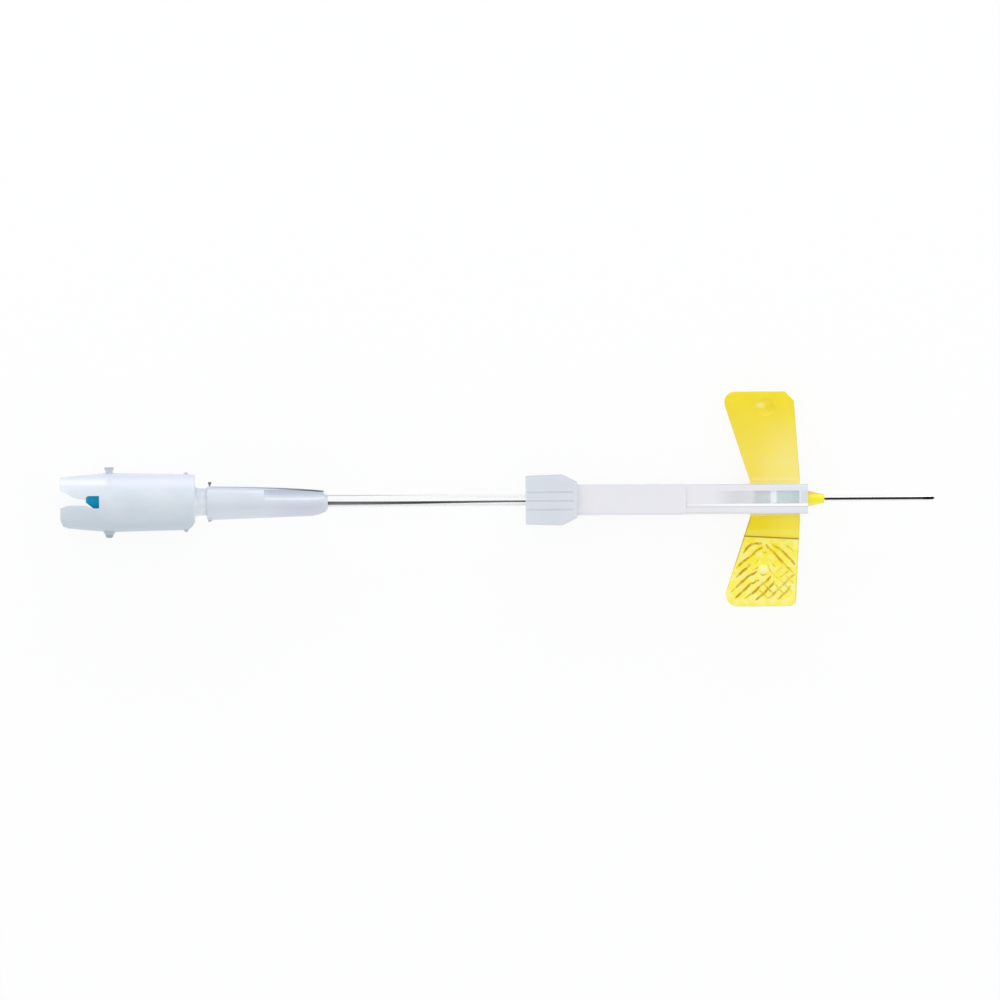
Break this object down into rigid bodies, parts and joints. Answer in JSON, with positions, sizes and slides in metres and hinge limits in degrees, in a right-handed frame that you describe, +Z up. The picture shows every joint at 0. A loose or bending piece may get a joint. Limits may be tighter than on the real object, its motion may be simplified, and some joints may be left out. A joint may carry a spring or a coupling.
{
  "type": "safety butterfly needle",
  "caption": "Winged blood-collection needle with a sliding shield sleeve, a clear tube, a luer hub and a tube-holder adapter.",
  "frame": {"origin": "middle of the object in plan, on the surface that it lies on", "axes": "+X along the needle towards its tip, +Y across the wings, +Z up"},
  "size_m": [0.1504, 0.037, 0.0102],
  "materials": {
    "adapter_plastic": "milky bluish polypropylene, satin",
    "hub_plastic": "milky bluish polypropylene, satin",
    "collar_plastic": "milky bluish polypropylene, satin",
    "sleeve_plastic": "milky translucent polypropylene",
    "barrel_plastic": "clear bluish plastic",
    "clear_tube": "clear soft tubing",
    "wing_plastic": "soft translucent yellow plastic",
    "teal_rubber": "smooth rubber",
    "steel": "polished stainless steel"
  },
  "bodies": {
    "needle_unit": {"barrel": "barrel_plastic", "cannula": "steel", "wing_saddle": "wing_plastic", "tube": "clear_tube", "luer_hub": "hub_plastic"},
    "shield": {"shield_sleeve": "sleeve_plastic", "grip_collar": "collar_plastic"},
    "adapter": {"adapter_body": "adapter_plastic", "rear_cannula": "steel", "rubber_sleeve": "teal_rubber"},
    "upper_wing": {"wing_upper": "wing_plastic"},
    "lower_wing": {"wing_lower": "wing_plastic"}
  },
  "joints": [
    {"name": "shield_slide", "type": "slide", "parent": "needle_unit", "child": "shield", "axis": [1, 0, 0], "range_m": [0, 0.0258]},
    {"name": "adapter_pull_off", "type": "slide", "parent": "needle_unit", "child": "adapter", "axis": [-1, 0, 0], "range_m": [0, 0.009]},
    {"name": "upper_wing_fold", "type": "hinge", "parent": "needle_unit", "child": "upper_wing", "pos_m": [0.0475, 0.00347, 0.0041], "axis": [1, 0, 0], "range_deg": [-10, 90], "stiffness_Nm_per_rad": 0.0015},
    {"name": "lower_wing_fold", "type": "hinge", "parent": "needle_unit", "child": "lower_wing", "pos_m": [0.0475, -0.00347, 0.0041], "axis": [-1, 0, 0], "range_deg": [-10, 90], "stiffness_Nm_per_rad": 0.0015}
  ]
}
